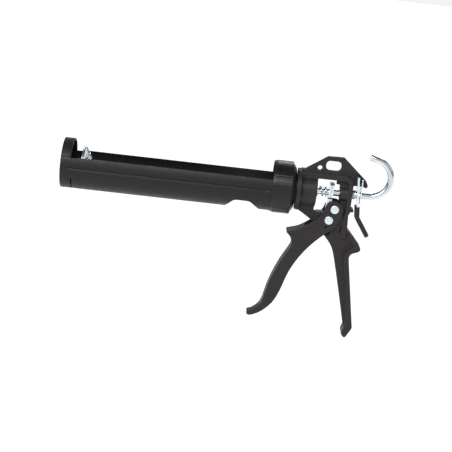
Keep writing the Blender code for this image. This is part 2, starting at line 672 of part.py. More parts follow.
def make_trigger():
    front = trigger_front()
    top = trigger_top()
    outline = front + top + trigger_head() + trigger_back()
    pivot = (PIVOT_X, 0, PIVOT_Z)
    trigger = place("trigger", prism(outline, -CHEEK_HALF, CHEEK_HALF), BLACK_CAST, pivot)
    spine = offset(front[9:-5], -SPINE_T)
    spine += [(x, z - SPINE_T) for x, z in top[1:6]]
    far = [(PIVOT_X - 16, -22), (PIVOT_X - 8, 0), (PIVOT_X + 30, 0), (PIVOT_X + 30, -60),
           (PIVOT_X - 30, -126), (PIVOT_X - 50, -134)]
    inner = CHEEK_HALF - CHEEK_T
    cut(trigger, tool("channel", prism(spine + far, -inner, inner)))
    for name, side in (("near", -1), ("far", 1)):
        wedge = prism(finger_wedge(side), PIVOT_X - 90, PIVOT_X - 30, "X")
        cut(trigger, tool(f"finger_{name}", wedge))
    cut(trigger, tool("trigger_pivot_hole", pin(PIVOT_X, PIVOT_Z, RIVET_R + GAP, 15, 20)))
    cut(trigger, tool("trigger_drive_hole", pin(DRIVE_X, DRIVE_Z, RIVET_R + GAP, 15, 20)))
    cut(trigger, tool("trigger_small_hole", pin(PIVOT_X - 2.3, -35.6, 1.2, 15, 12)))


def rivet(name, x, z):
    """A plain shank with a low head outside each cheek."""
    inside = CHEEK_HALF + GAP
    outside = inside + RIVET_HEAD_T
    crown = RIVET_HEAD_R * 0.82
    side = [(inside, RIVET_R), (inside, RIVET_HEAD_R), (outside - 0.6, RIVET_HEAD_R),
            (outside, crown), (outside, 0)]
    profile = [(-a, r) for a, r in reversed(side)] + side
    solid = turned(profile, 24, axis=(0, 1, 0), centre=(x, 0, z))
    place(name, solid, BRIGHT_ZINC, (x, 0, z))


def make_rivets():
    rivet("pivot_rivet", PIVOT_X, PIVOT_Z)
    rivet("drive_rivet", DRIVE_X, DRIVE_Z)
    half = CHEEK_HALF - CHEEK_T - GAP
    bush = turned([(-half, RIVET_R + GAP), (-half, BUSH_R), (half, BUSH_R), (half, RIVET_R + GAP)], 24,
                  closed=True, axis=(0, 1, 0), centre=(PIVOT_X, 0, PIVOT_Z))
    place("pivot_bush", bush, SPRING_STEEL, (PIVOT_X, 0, PIVOT_Z))
    roller = turned([(-half, RIVET_R + GAP), (-half, ROLLER_R), (half, ROLLER_R), (half, RIVET_R + GAP)], 24,
                    closed=True, axis=(0, 1, 0), centre=(DRIVE_X, 0, DRIVE_Z))
    place("drive_roller", roller, SPRING_STEEL, (DRIVE_X, 0, DRIVE_Z))


# ---------------------------------------------------------------- drive plates

def drive_stack_x():
    """Where the stack's middle crosses the rod's axis, so that the roller lies against its rear face."""
    half_stack = DRIVE_PLATE_T + GAP / 2
    reach = (half_stack + GAP + ROLLER_R) / math.cos(DRIVE_PLATE_TILT)
    return DRIVE_X - reach - DRIVE_Z * math.tan(DRIVE_PLATE_TILT)


def drive_plate(name, low, high):
    wide = DRIVE_PLATE_HALF
    tail = DRIVE_TAIL_HALF
    outline = rounded([(-wide, DRIVE_PLATE_TOP, 3), (wide, DRIVE_PLATE_TOP, 3), (wide, DRIVE_SHOULDER, 1),
                       (tail, DRIVE_SHOULDER - 2, 0), (tail, DRIVE_TAIL_END, 1), (-tail, DRIVE_TAIL_END, 1),
                       (-tail, DRIVE_SHOULDER - 2, 0), (-wide, DRIVE_SHOULDER, 1)], 3)
    lean = Matrix.Translation((drive_stack_x(), 0, 0)) @ Matrix.Rotation(DRIVE_PLATE_TILT, 4, "Y")
    solid = prism(outline, low, high, "X")
    solid.transform(lean)
    plate = place(name, solid, BRIGHT_ZINC)
    bore = disc(low - 3, high + 3, ROD_R + RUN, 24)
    bore.transform(lean)
    cut(plate, tool(name + "_bore", bore))


def make_drive():
    drive_plate("drive_plate_front", -DRIVE_PLATE_T - GAP / 2, -GAP / 2)
    drive_plate("drive_plate_rear", GAP / 2, DRIVE_PLATE_T + GAP / 2)
    seat = BOSS_REAR - SPRING_POCKET_DEPTH + GAP
    outer = DRIVE_SPRING_R + DRIVE_WIRE_R
    place("spring_washer", ring(seat, seat + SPRING_WASHER_T, ROD_R + RUN, outer, 24), SPRING_STEEL)
    start = seat + SPRING_WASHER_T + GAP
    lean = math.tan(DRIVE_PLATE_TILT) * outer
    half_stack = (DRIVE_PLATE_T + GAP / 2) / math.cos(DRIVE_PLATE_TILT)
    end = drive_stack_x() - half_stack - lean - GAP
    place("drive_spring", coil(start, end, DRIVE_SPRING_R, DRIVE_WIRE_R, DRIVE_SPRING_TURNS), SPRING_STEEL)


# ---------------------------------------------------------------- release lever and brake

def lever_lines(half, top_z, short):
    """The bent strip of the lever, half as thick each side, cut off at top_z and short of its lower end."""
    top = Vector((LEVER_TOP_X, LEVER_TOP_Z))
    bend = Vector((LEVER_BEND_X, LEVER_BEND_Z))
    end = Vector((LEVER_END_X, LEVER_END_Z))
    share = (top.y - top_z) / (top.y - bend.y)
    start = top.lerp(bend, share)
    end = end - (end - bend).normalized() * short
    first = (bend - top).normalized()
    second = (end - bend).normalized()
    left = Vector((-first.y, first.x))
    right = Vector((-second.y, second.x))
    miter = (left + right).normalized()
    reach = half / miter.dot(left)
    return [start + left * half, bend + miter * reach, end + right * half,
            end - right * half, bend - miter * reach, start - left * half]


def make_lever():
    pivot = (LEVER_TOP_X + 0.1, 0, LEVER_TOP_Z - 1.0)
    strip = lever_lines(LEVER_T / 2, LEVER_TOP_Z, 0)
    lever = place("release_lever", prism(strip, -LEVER_HALF, LEVER_HALF), BRIGHT_ZINC, pivot)
    cut(lever, tool("lever_bore", disc(POST_REAR - 4, LEVER_TOP_X + 12, ROD_R + RUN + 0.3, 28)))
    slot = POCKET_HALF + RUN
    cut(lever, tool("lever_fork", block(POST_REAR, LEVER_TOP_X + 8, -slot, slot, 9, LEVER_TOP_Z + 4)))
    for name, side in (("near", -1), ("far", 1)):
        low, high = sorted((side * LEVER_TAIL_HALF, side * (LEVER_HALF + 2)))
        trim = block(POST_REAR, LEVER_END_X + 9, low, high, LEVER_END_Z - 9, SLEEVE_TOP_Z + GAP)
        cut(lever, tool(f"lever_trim_{name}", trim))
    outer = LEVER_TAIL_HALF + GAP + SLEEVE_WALL
    thick = LEVER_T / 2 + GAP + SLEEVE_WALL
    skin = lever_lines(thick, SLEEVE_TOP_Z, SLEEVE_SHORT)
    sleeve = place("lever_sleeve", prism(skin, -outer, outer), BLACK_SLEEVE, pivot)
    core = lever_lines(LEVER_T / 2 + GAP, SLEEVE_TOP_Z + 5, -5)
    cut(sleeve, tool("sleeve_core", prism(core, -LEVER_TAIL_HALF - GAP, LEVER_TAIL_HALF + GAP)))


def lever_x(z):
    """The middle of the lever's upper run at height z."""
    share = (LEVER_TOP_Z - z) / (LEVER_TOP_Z - LEVER_BEND_Z)
    return LEVER_TOP_X + (LEVER_BEND_X - LEVER_TOP_X) * share


def make_brake():
    front = lever_x(BRAKE_PLATE_BOTTOM) + LEVER_T / 2 + GAP + 0.05
    wide = BRAKE_PLATE_HALF
    outline = rounded([(-wide, BRAKE_PLATE_TOP, 2), (wide, BRAKE_PLATE_TOP, 2), (wide, BRAKE_PLATE_BOTTOM, 3),
                       (-wide, BRAKE_PLATE_BOTTOM, 3)], 3)
    plate = place("brake_plate", prism(outline, front, front + BRAKE_PLATE_T, "X"), BRIGHT_ZINC)
    cut(plate, tool("brake_bore", disc(front - 3, front + 5, ROD_R + RUN, 24)))
    slot = PLATE_HALF + RUN
    cut(plate, tool("brake_fork", block(front - 3, front + 5, -slot, slot, 6.6, BRAKE_PLATE_TOP + 3)))
    outer = BRAKE_SPRING_R + BRAKE_WIRE_R
    end = lever_x(outer) - LEVER_T / 2 - GAP - 0.1
    spring = coil(POST_REAR + GAP, end, BRAKE_SPRING_R, BRAKE_WIRE_R, BRAKE_SPRING_TURNS)
    place("brake_spring", spring, SPRING_STEEL)


def main():
    for old in list(bpy.data.objects):
        bpy.data.objects.remove(old, do_unlink=True)
    make_push_rod()
    make_piston()
    make_barrel_shell()
    make_front_cap()
    make_collar()
    make_barrel_fittings()
    make_frame()
    make_trigger()
    make_rivets()
    make_drive()
    make_lever()
    make_brake()


main()
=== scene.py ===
import math

import bmesh
import bpy
from mathutils import Matrix, Vector


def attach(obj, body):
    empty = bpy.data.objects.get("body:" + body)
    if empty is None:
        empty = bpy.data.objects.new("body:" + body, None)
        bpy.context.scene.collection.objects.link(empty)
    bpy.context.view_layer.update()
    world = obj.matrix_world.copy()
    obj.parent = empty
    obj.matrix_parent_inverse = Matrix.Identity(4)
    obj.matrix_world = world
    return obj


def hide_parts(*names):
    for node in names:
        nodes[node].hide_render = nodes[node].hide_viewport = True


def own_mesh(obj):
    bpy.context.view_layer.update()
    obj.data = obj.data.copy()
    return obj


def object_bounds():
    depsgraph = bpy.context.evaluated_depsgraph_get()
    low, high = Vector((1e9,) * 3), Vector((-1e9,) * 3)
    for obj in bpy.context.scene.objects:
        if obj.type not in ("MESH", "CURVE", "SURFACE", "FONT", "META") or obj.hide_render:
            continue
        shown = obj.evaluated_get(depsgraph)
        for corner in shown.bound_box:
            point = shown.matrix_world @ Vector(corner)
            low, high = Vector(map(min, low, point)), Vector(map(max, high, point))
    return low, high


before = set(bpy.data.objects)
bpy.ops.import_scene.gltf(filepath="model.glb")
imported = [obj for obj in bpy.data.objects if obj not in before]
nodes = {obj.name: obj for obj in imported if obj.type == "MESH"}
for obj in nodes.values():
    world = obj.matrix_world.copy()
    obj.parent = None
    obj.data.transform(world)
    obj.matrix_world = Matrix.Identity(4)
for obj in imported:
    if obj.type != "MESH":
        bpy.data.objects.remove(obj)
cad_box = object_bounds()

MM = 0.001

# ---------------------------------------------------------------- camera, floor and light

AIM = Vector((156.97, 0.0, -48.96)) * MM
CAMERA_DISTANCE = 1.2714
CAMERA_AZIMUTH = math.radians(-0.12)
CAMERA_ELEVATION = math.radians(13.22)
CAMERA_ROLL = math.radians(6.49)
CAMERA_LENS = 95.6
FLOOR_DROP = 1.5  # metres from the gun's lowest point to the floor
FLOOR_SIZE = 60.0  # metres from the floor's middle to its edge
# (height, brightness), where a height of 0 is straight down, 0.5 the horizon and 1 straight up
SKY = ((0.0, 0.9), (0.49, 0.9), (0.52, 0.05), (0.57, 0.06), (0.64, 0.9), (0.76, 0.75), (0.84, 0.12),
       (1.0, 0.08))


def link(thing):
    bpy.context.scene.collection.objects.link(thing)
    return thing


def make_camera():
    data = bpy.data.cameras.new("camera")
    data.lens = CAMERA_LENS
    data.sensor_width = 36.0
    data.clip_start = 0.05
    data.clip_end = 60.0
    camera = link(bpy.data.objects.new("camera", data))
    back = Vector((math.sin(CAMERA_AZIMUTH) * math.cos(CAMERA_ELEVATION),
                   -math.cos(CAMERA_AZIMUTH) * math.cos(CAMERA_ELEVATION), math.sin(CAMERA_ELEVATION)))
    camera.rotation_mode = "QUATERNION"
    camera.rotation_quaternion = (back.to_track_quat("Z", "Y")
                                  @ Matrix.Rotation(CAMERA_ROLL, 3, "Z").to_quaternion())
    camera.location = AIM + back * CAMERA_DISTANCE
    bpy.context.scene.camera = camera


def soft_light(name, spot, size, power):
    data = bpy.data.lights.new(name, "AREA")
    data.shape = "RECTANGLE"
    data.size, data.size_y = size
    data.energy = power
    lamp = link(bpy.data.objects.new(name, data))
    lamp.location = spot
    lamp.rotation_mode = "QUATERNION"
    lamp.rotation_quaternion = (Vector(spot) - AIM).to_track_quat("Z", "Y")


def make_world():
    """A dark band at the horizon, a bright one above it and a dim ceiling, for the metal to reflect."""
    world = bpy.data.worlds.new("studio")
    world.use_nodes = True
    tree = world.node_tree
    background = tree.nodes["Background"]
    coords = tree.nodes.new("ShaderNodeTexCoord")
    split = tree.nodes.new("ShaderNodeSeparateXYZ")
    ramp = tree.nodes.new("ShaderNodeValToRGB")
    shift = tree.nodes.new("ShaderNodeMath")
    shift.operation = "MULTIPLY_ADD"
    shift.inputs[1].default_value = 0.5
    shift.inputs[2].default_value = 0.5
    tree.links.new(coords.outputs["Generated"], split.inputs[0])
    tree.links.new(split.outputs["Z"], shift.inputs[0])
    tree.links.new(shift.outputs[0], ramp.inputs[0])
    tree.links.new(ramp.outputs[0], background.inputs["Color"])
    ramp.color_ramp.elements[0].position = SKY[0][0]
    ramp.color_ramp.elements[1].position = SKY[-1][0]
    for position, _ in SKY[1:-1]:
        ramp.color_ramp.elements.new(position)
    for element, (_, value) in zip(ramp.color_ramp.elements, SKY):
        element.color = (value, value, value, 1.0)
    background.inputs["Strength"].default_value = 1.0
    bpy.context.scene.world = world


def make_floor():
    """A plain pale floor, evenly lit so that it shows white."""
    bm = bmesh.new()
    bmesh.ops.create_grid(bm, x_segments=1, y_segments=1, size=FLOOR_SIZE)
    mesh = bpy.data.meshes.new("studio_floor")
    bm.to_mesh(mesh)
    bm.free()
    floor = link(bpy.data.objects.new("studio_floor", mesh))
    floor.location = (AIM.x, 0, cad_box[0][2] - FLOOR_DROP)
    n = Nodes("studio_floor")
    n.set("Emission Strength", 0.85)
    n.set("Emission Color", (1.0, 1.0, 1.0, 1.0))
    n.set("Base Color", (0.8, 0.8, 0.8, 1.0))
    n.set("Roughness", 1.0)
    n.set("Specular IOR Level", 0.0)
    mesh.materials.append(n.material)


def make_studio():
    make_world()
    make_floor()
    soft_light("key", (-0.3, -1.2, 1.0), (1.1, 0.5), 24)
    soft_light("rear_strip", (0.6, 1.1, 0.9), (0.8, 0.4), 5)
    bpy.context.scene.view_settings.view_transform = "Standard"


# ---------------------------------------------------------------- materials

class Nodes:
    """Short names for making and joining a material's nodes."""

    def __init__(self, name):
        self.material = bpy.data.materials.new(name)
        self.material.use_nodes = True
        self.tree = self.material.node_tree
        self.shader = self.tree.nodes["Principled BSDF"]
        self.coords = self.tree.nodes.new("ShaderNodeTexCoord").outputs["Object"]

    def join(self, source, target):
        self.tree.links.new(source, target)

    def set(self, socket, value):
        self.shader.inputs[socket].default_value = value

    def stretched(self, scale):
        node = self.tree.nodes.new("ShaderNodeMapping")
        node.inputs["Scale"].default_value = scale
        self.join(self.coords, node.inputs["Vector"])
        return node.outputs[0]

    def noise(self, scale, detail=3.0, vector=None, rough=0.5):
        node = self.tree.nodes.new("ShaderNodeTexNoise")
        node.inputs["Scale"].default_value = scale
        node.inputs["Detail"].default_value = detail
        node.inputs["Roughness"].default_value = rough
        self.join(vector or self.coords, node.inputs["Vector"])
        return node.outputs["Fac"]

    def ranged(self, value, low, high, start=0.3, end=0.7):
        node = self.tree.nodes.new("ShaderNodeMapRange")
        for socket, number in zip(("From Min", "From Max", "To Min", "To Max"), (start, end, low, high)):
            node.inputs[socket].default_value = number
        self.join(value, node.inputs["Value"])
        return node.outputs[0]

    def mixed(self, factor, first, second):
        node = self.tree.nodes.new("ShaderNodeMix")
        node.data_type = "RGBA"
        node.inputs[6].default_value = (*first, 1.0)
        node.inputs[7].default_value = (*second, 1.0)
        self.join(factor, node.inputs[0])
        return node.outputs[2]

    def bump(self, height, distance, strength=1.0, below=None):
        node = self.tree.nodes.new("ShaderNodeBump")
        node.inputs["Strength"].default_value = strength
        node.inputs["Distance"].default_value = distance
        self.join(height, node.inputs["Height"])
        if below:
            self.join(below, node.inputs["Normal"])
        return node.outputs[0]


def coat(name, dark, light, rough, grain=2600.0, grain_depth=0.00006, specular=0.5):
    """A baked powder coat: fine grain over a slight orange peel, with gloss that varies a little."""
    n = Nodes(name)
    fine = n.noise(grain, 2.0)
    mottle = n.noise(grain * 0.32, 4.0, rough=0.7)
    n.join(n.mixed(n.ranged(mottle, 0.0, 1.0), dark, light), n.shader.inputs["Base Color"])
    n.join(n.ranged(n.noise(160.0, 3.0), rough - 0.06, rough + 0.07), n.shader.inputs["Roughness"])
    peel = n.bump(n.noise(420.0, 2.0), 0.00008, 0.5)
    n.join(n.bump(fine, grain_depth, 1.0, peel), n.shader.inputs["Normal"])
    n.set("Specular IOR Level", specular)
    return n.material


def plated(name, cool, warm, rough, scale=(40.0, 40.0, 40.0), streak=18.0):
    """Bright zinc plate with drawing marks, a faint warm and cool tint and dull patches."""
    n = Nodes(name)
    marks = n.noise(streak, 5.0, n.stretched(scale), 0.7)
    tint = n.noise(55.0, 2.0)
    n.join(n.mixed(n.ranged(tint, 0.0, 1.0), cool, warm), n.shader.inputs["Base Color"])
    n.join(n.ranged(marks, rough, rough + 0.14), n.shader.inputs["Roughness"])
    n.join(n.bump(marks, 0.00003, 0.7), n.shader.inputs["Normal"])
    n.set("Metallic", 1.0)
    return n.material


CAST = coat("cast_coat", (0.012, 0.010, 0.011), (0.026, 0.022, 0.024), 0.48, specular=0.25)
SHEET = coat("sheet_coat", (0.008, 0.007, 0.008), (0.018, 0.016, 0.017), 0.44, specular=0.2)
# The same coat painted darker for the shell's and cap's inner faces: painted shade inside the barrel
PAINTED_SHADE_INNER = coat("inner_coat_painted_shade", (0.004, 0.004, 0.005), (0.008, 0.008, 0.009), 0.6, specular=0.25)
MOULDED = coat("moulded_collar", (0.006, 0.005, 0.005), (0.011, 0.010, 0.010), 0.34, 1800.0, 0.00003, 0.3)
VINYL = coat("dipped_vinyl", (0.014, 0.012, 0.012), (0.022, 0.020, 0.020), 0.55, 2000.0, 0.00005, 0.25)
ZINC = plated("zinc_plate", (0.74, 0.83, 0.90), (0.86, 0.87, 0.86), 0.14)
ROD = plated("drawn_rod", (0.56, 0.64, 0.70), (0.72, 0.74, 0.75), 0.14, (4.0, 40.0, 40.0), 6.0)
PRESSED = plated("pressed_plate", (0.66, 0.76, 0.83), (0.82, 0.85, 0.86), 0.20, (60.0, 60.0, 6.0))
RIVET = plated("rivet_zinc", (0.66, 0.76, 0.80), (0.76, 0.82, 0.84), 0.36)
STEEL = plated("spring_steel", (0.60, 0.63, 0.66), (0.70, 0.70, 0.68), 0.20)


# ---------------------------------------------------------------- making meshes

def to_object(name, bm, sharp=38.0):
    bmesh.ops.recalc_face_normals(bm, faces=bm.faces)
    bm.transform(Matrix.Scale(MM, 4))
    mesh = bpy.data.meshes.new(name)
    bm.to_mesh(mesh)
    bm.free()
    mesh.shade_smooth()
    mesh.set_sharp_from_angle(angle=math.radians(sharp))
    return link(bpy.data.objects.new(name, mesh))


def copied(name, node):
    """A new object with a copy of a CAD node's mesh, in the row frame."""
    source = nodes[node]
    bpy.context.view_layer.update()
    mesh = source.data.copy()
    mesh.transform(source.matrix_world)
    mesh.materials.clear()
    return link(bpy.data.objects.new(name, mesh))


def apply_modifiers(thing):
    depsgraph = bpy.context.evaluated_depsgraph_get()
    depsgraph.update()
    mesh = bpy.data.meshes.new_from_object(thing.evaluated_get(depsgraph))
    thing.modifiers.clear()
    thing.data = mesh
    return thing


def shape(thing, joins=(), cuts=()):
    """Adds and takes away blocks, given as bmeshes in millimetres, with exact booleans."""
    helpers = []
    for operation, group in (("UNION", joins), ("DIFFERENCE", cuts)):
        for bm in group:
            helper = to_object("helper", bm)
            change = thing.modifiers.new("shape", "BOOLEAN")
            change.operation = operation
            change.solver = "EXACT"
            change.object = helper
            helpers.append(helper)
    apply_modifiers(thing)
    for helper in helpers:
        bpy.data.objects.remove(helper, do_unlink=True)
    return thing


def softened(thing, voxel, rounds, extra=None, extra_rounds=0):
    """The shape remeshed finely and smoothed, so that its corners get a casting's small radii."""
    remesh = thing.modifiers.new("remesh", "REMESH")
    remesh.mode = "VOXEL"
    remesh.voxel_size = voxel * MM
    smooth = thing.modifiers.new("smooth", "SMOOTH")
    smooth.factor = 0.5
    smooth.iterations = rounds
    apply_modifiers(thing)
    if extra:
        group = thing.vertex_groups.new(name="soft")
        for vertex in thing.data.vertices:
            weight = extra(vertex.co / MM)
            if weight > 0:
                group.add([vertex.index], weight, "REPLACE")
        more = thing.modifiers.new("more", "SMOOTH")
        more.factor = 0.5
        more.iterations = extra_rounds
        more.vertex_group = "soft"
        apply_modifiers(thing)
        thing.vertex_groups.clear()
    thing.data.shade_smooth()
    return thing


def bevel(thing, width, segments=3, angle=40.0):
    change = thing.modifiers.new("bevel", "BEVEL")
    change.width = width * MM
    change.segments = segments
    change.limit_method = "ANGLE"
    change.angle_limit = math.radians(angle)
    change.harden_normals = True


def finish(thing, material, body, slot, *stands_for):
    thing.data.materials.clear()
    thing.data.materials.append(material)
    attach(thing, body)
    if stands_for:
        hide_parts(*stands_for)
    return thing


def arc(centre, radius, start, end, steps):
    points = []
    for i in range(steps + 1):
        angle = math.radians(start + (end - start) * i / steps)
        points.append((centre[0] + radius * math.cos(angle), centre[1] + radius * math.sin(angle)))
    return points


def prism(outline, low, high, axis="Y"):
    bm = bmesh.new()
    spots = {"Y": lambda a, b, t: (a, t, b), "X": lambda a, b, t: (t, a, b)}
    rings = [[bm.verts.new(spots[axis](a, b, t)) for a, b in outline] for t in (low, high)]
    bm.faces.new(rings[0])
    bm.faces.new(rings[1][::-1])
    count = len(outline)
    for i in range(count):
        n = (i + 1) % count
        bm.faces.new((rings[0][i], rings[0][n], rings[1][n], rings[1][i]))
    return bm


def block(x0, x1, y0, y1, z0, z1):
    return prism([(x0, z0), (x1, z0), (x1, z1), (x0, z1)], y0, y1)


def turned(profile, steps=64, closed=False, axis=(1, 0, 0), centre=(0, 0, 0)):
    """The profile of (along, radius) points spun round an axis through centre."""
    bm = bmesh.new()
    along = Vector(axis)
    out = Vector((0, 0, 1))
    side = along.cross(out)
    rings = []
    for k in range(steps):
        angle = 2 * math.pi * k / steps
        spoke = out * math.cos(angle) + side * math.sin(angle)
        rings.append([Vector(centre) + along * a + spoke * r for a, r in profile])
    verts = [[bm.verts.new(p) for p in ring] for ring in rings]
    count = len(profile)
    last = count if closed else count - 1
    for k in range(steps):
        here, there = verts[k], verts[(k + 1) % steps]
        for i in range(last):
            n = (i + 1) % count
            bm.faces.new((here[i], here[n], there[n], there[i]))
    bmesh.ops.remove_doubles(bm, verts=bm.verts, dist=0.0005)
    return bm


def tube(points, radius, sides=32, dome=0.35):
    """A round bar along the points, with slightly rounded ends."""
    bm = bmesh.new()
    path = [Vector(p) for p in points]
    normal = Vector((0, 1, 0))
    rings = []
    for i, point in enumerate(path):
        along = (path[min(i + 1, len(path) - 1)] - path[max(i - 1, 0)]).normalized()
        side = (normal - along * normal.dot(along)).normalized()
        normal = side
        up = along.cross(side)
        spots = [(0.0, radius)]
        if i == 0:
            spots = [(0.0, radius - dome), (dome * 0.3, radius - dome * 0.3), (dome, radius)]
        elif i == len(path) - 1:
            spots = [(-dome, radius), (-dome * 0.3, radius - dome * 0.3), (0.0, radius - dome)]
        for shift, size in spots:
            rings.append([bm.verts.new(point + along * shift + (side * math.cos(t) + up * math.sin(t)) * size)
                          for t in (2 * math.pi * k / sides for k in range(sides))])
    for first, second in zip(rings, rings[1:]):
        for k in range(sides):
            n = (k + 1) % sides
            bm.faces.new((first[k], first[n], second[n], second[k]))
    bm.faces.new(rings[0][::-1])
    bm.faces.new(rings[-1])
    return bm


# ---------------------------------------------------------------- castings

PIVOT = (263.2, -28.0)  # the trigger's lower rivet
DRIVE = (267.9, -16.0)  # its upper rivet, which carries the roller


def make_frame_casting():
    """The frame with its fine steps: a ledge along the plate's root and a key on the boss."""
    thing = copied("frame_casting", "frame")
    ledge = prism([(229.0, 18.5), (229.0, 22.3), (270.0, 22.3), (276.0, 21.6), (282.5, 17.5)], -4.6, 4.6)
    key = block(232.0, 236.0, -17.6, -13.0, -3.2, 1.6)
    shape(thing, joins=[ledge, key])
    softened(thing, 0.4, 3)
    finish(thing, CAST, "frame", "cast_black", "frame")


def trigger_softness(p):
    """1 near the trigger's front edge and finger end, 0 on the cheeks."""
    if p.z > -44:
        return 0.0
    front = [(-74.2, -137.6), (-66.8, -134.4), (-60.8, -127.2), (-58.8, -120.6), (-55.7, -106.7),
             (-51.2, -92.7), (-45.2, -78.5), (-38.0, -64.8), (-36.0, -59.6), (-36.1, -55.0), (-38.4, -50.0)]
    here = Vector((p.x - PIVOT[0], p.z))
    nearest = 99.0
    for a, b in zip(front, front[1:]):
        start = Vector(a)
        step = Vector(b) - start
        share = min(max((here - start).dot(step) / step.length_squared, 0.0), 1.0)
        nearest = min(nearest, (here - start - step * share).length)
    return min(max((5.5 - nearest) / 2.5, 0.0), 1.0)


def make_trigger_casting():
    thing = copied("trigger_casting", "trigger")
    softened(thing, 0.45, 3, trigger_softness, 30)
    finish(thing, CAST, "trigger", "cast_black", "trigger")


# ---------------------------------------------------------------- barrel

SHELL_IN_R = 25.0
SHELL_R = 26.1
SHELL_LIFT = 24.0
BARREL_FRONT = -20.0
BARREL_REAR = 212.0
CAP_LENGTH = 10.5
NOZZLE_R = 11.0
BEAD_Z = -1.0
BEAD_END_MARGIN = 13.0


def bead_depth(x, z):
    """How far the sheet is pressed in at the long bead: a round groove with blunt ends."""
    ends = min(x - (BARREL_FRONT + 6.5), (BARREL_REAR - BEAD_END_MARGIN) - x)
    if ends <= 0:
        return 0.0
    across = abs(z - BEAD_Z) / 1.9
    if across >= 1:
        return 0.0
    return 1.2 * min(ends / 1.2, 1.0) * (0.5 + 0.5 * math.cos(math.pi * across))


def shell_angles():
    """Angles across the shell, closer together at the two beads."""
    end = 360 + SHELL_LIFT
    angles = []
    angle = 180 - SHELL_LIFT
    while angle < end - 0.01:
        angles.append(angle)
        z = SHELL_R * math.sin(math.radians(angle))
        angle += 0.75 if abs(z - BEAD_Z) < 2.4 else 2.0
    angles.append(end)
    return angles


def shell_stations():
    stations = []
    x = BARREL_FRONT
    while x < BARREL_REAR - 0.01:
        stations.append(x)
        near_end = min(abs(x - (BARREL_FRONT + 7)), abs(x - (BARREL_REAR - BEAD_END_MARGIN)))
        x += 0.5 if near_end < 2 else 3.0
    stations.append(BARREL_REAR)
    return stations


def shell_layer(bm, xs, angles, radius):
    grid = []
    for x in xs:
        row = []
        for angle in angles:
            turn = math.radians(angle)
            r = radius - bead_depth(x, SHELL_R * math.sin(turn))
            row.append(bm.verts.new((x, r * math.cos(turn), r * math.sin(turn))))
        grid.append(row)
    return grid


def shell_body():
    bm = bmesh.new()
    angles = shell_angles()
    xs = shell_stations()
    outer = shell_layer(bm, xs, angles, SHELL_R)
    inner = shell_layer(bm, xs, angles, SHELL_IN_R)
    for i in range(len(xs) - 1):
        for k in range(len(angles) - 1):
            bm.faces.new((outer[i][k], outer[i + 1][k], outer[i + 1][k + 1], outer[i][k + 1]))
            face = bm.faces.new((inner[i][k], inner[i][k + 1], inner[i + 1][k + 1], inner[i + 1][k]))
            # inner faces take the darker coat: painted shade inside the barrel
            face.material_index = 1
        for k in (0, -1):
            bm.faces.new((outer[i][k], inner[i][k], inner[i + 1][k], outer[i + 1][k]))
    for i in (0, -1):
        for k in range(len(angles) - 1):
            bm.faces.new((outer[i][k], outer[i][k + 1], inner[i][k + 1], inner[i][k]))
    return bm


def slit_cutters():
    slit = BARREL_FRONT + CAP_LENGTH + 0.5
    cuts = []
    for level, sweep in ((180, 1), (360, -1)):
        for start, width in ((27.0, 1.3), (62.0, 2.6)):
            wedge = (arc((0, 0), 29, level + sweep * start, level + sweep * 87, 8)
                     + arc((0, 0), 23, level + sweep * 87, level + sweep * start, 8))
            cuts.append(prism(wedge, slit, slit + width, "X"))
    return cuts


def rounded_corner(before, corner, after, radius, steps=10):
    here = Vector(corner)
    back = (Vector(before) - here).normalized()
    ahead = (Vector(after) - here).normalized()
    half = back.angle(ahead) / 2
    reach = radius / math.tan(half)
    centre = here + (back + ahead).normalized() * (radius / math.sin(half))
    first = here + back * reach - centre
    last = here + ahead * reach - centre
    turn = math.atan2(first.x * last.y - first.y * last.x, first.dot(last))
    return [tuple(centre + Matrix.Rotation(turn * k / steps, 2) @ first) for k in range(steps + 1)]


def scallop_outline():
    rear = BARREL_REAR - 20.5
    front = rear - 40.5
    low = -SHELL_R - 3
    top = -SHELL_R + 11.0
    inner_rear = (rear - 12.96, top)
    inner_front = (front + 10.935, top)
    points = [(front - 2, low), (rear + 2, low)]
    points += rounded_corner((rear + 2, low), inner_rear, inner_front, 9.0)
    points += rounded_corner(inner_rear, inner_front, (front - 2, low), 8.0)
    return points


def make_shell():
    shell = to_object("barrel_tube", shell_body(), 50)
    shell.data.materials.append(SHEET)
    shell.data.materials.append(PAINTED_SHADE_INNER)
    edge = SHELL_R * math.sin(math.radians(SHELL_LIFT))
    cuts = slit_cutters()
    cuts.append(block(BARREL_FRONT + CAP_LENGTH - 1.5, BARREL_FRONT + CAP_LENGTH + 7.5, -30, 30,
                      edge - 1.0, edge + 5))
    cuts.append(prism(scallop_outline(), -SHELL_R - 2, SHELL_R + 2))
    shape(shell, cuts=cuts)
    shell.data.shade_smooth()
    shell.data.set_sharp_from_angle(angle=math.radians(40))
    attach(shell, "barrel")
    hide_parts("barrel_shell")


